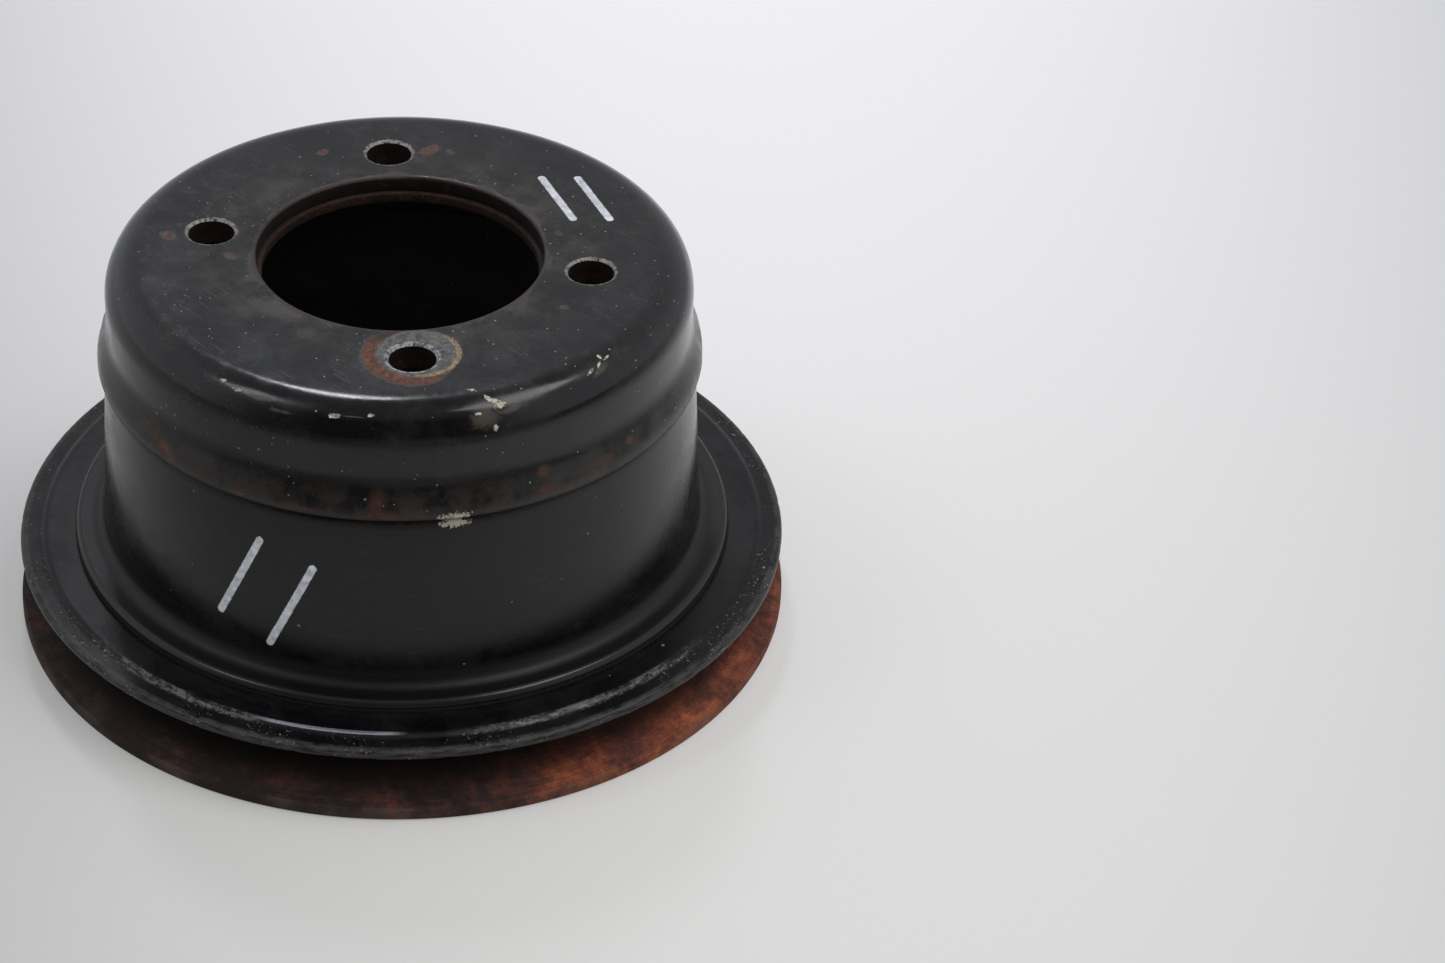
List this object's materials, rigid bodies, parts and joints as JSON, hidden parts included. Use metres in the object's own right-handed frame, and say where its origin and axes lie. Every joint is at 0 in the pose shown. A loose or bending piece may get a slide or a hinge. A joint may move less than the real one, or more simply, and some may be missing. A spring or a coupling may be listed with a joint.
{
  "type": "v belt pulley",
  "caption": "Welded steel V belt pulley: deep drum with a single belt groove at its rim and a flat hub face with a centre bore and a bolt rectangle.",
  "frame": {"origin": "centre of the plane that the rear flange's rim rests on, on the axis of rotation", "axes": "+Z along the axis of rotation, from the rear flange to the hub's outer face; +X along the long side of the bolt rectangle"},
  "size_m": [0.144, 0.144, 0.0736],
  "materials": {
    "black_paint": "satin black stoving enamel, chipped and rust-stained at edges",
    "rusty_ring_steel": "rusted, matte",
    "rusty_flange_steel": "rusted by belt wear, matte",
    "weld_steel": "bare fused steel"
  },
  "bodies": {
    "root": {"hub_cup": "black_paint", "drum_shell": "black_paint", "front_flange": "black_paint", "hub_backing_ring": "rusty_ring_steel", "rear_flange": "rusty_flange_steel", "hub_lap_spot_welds": "weld_steel", "backing_ring_spot_welds": "weld_steel", "drum_foot_projection_welds": "weld_steel", "groove_web_spot_welds": "weld_steel"}
  },
  "joints": []
}
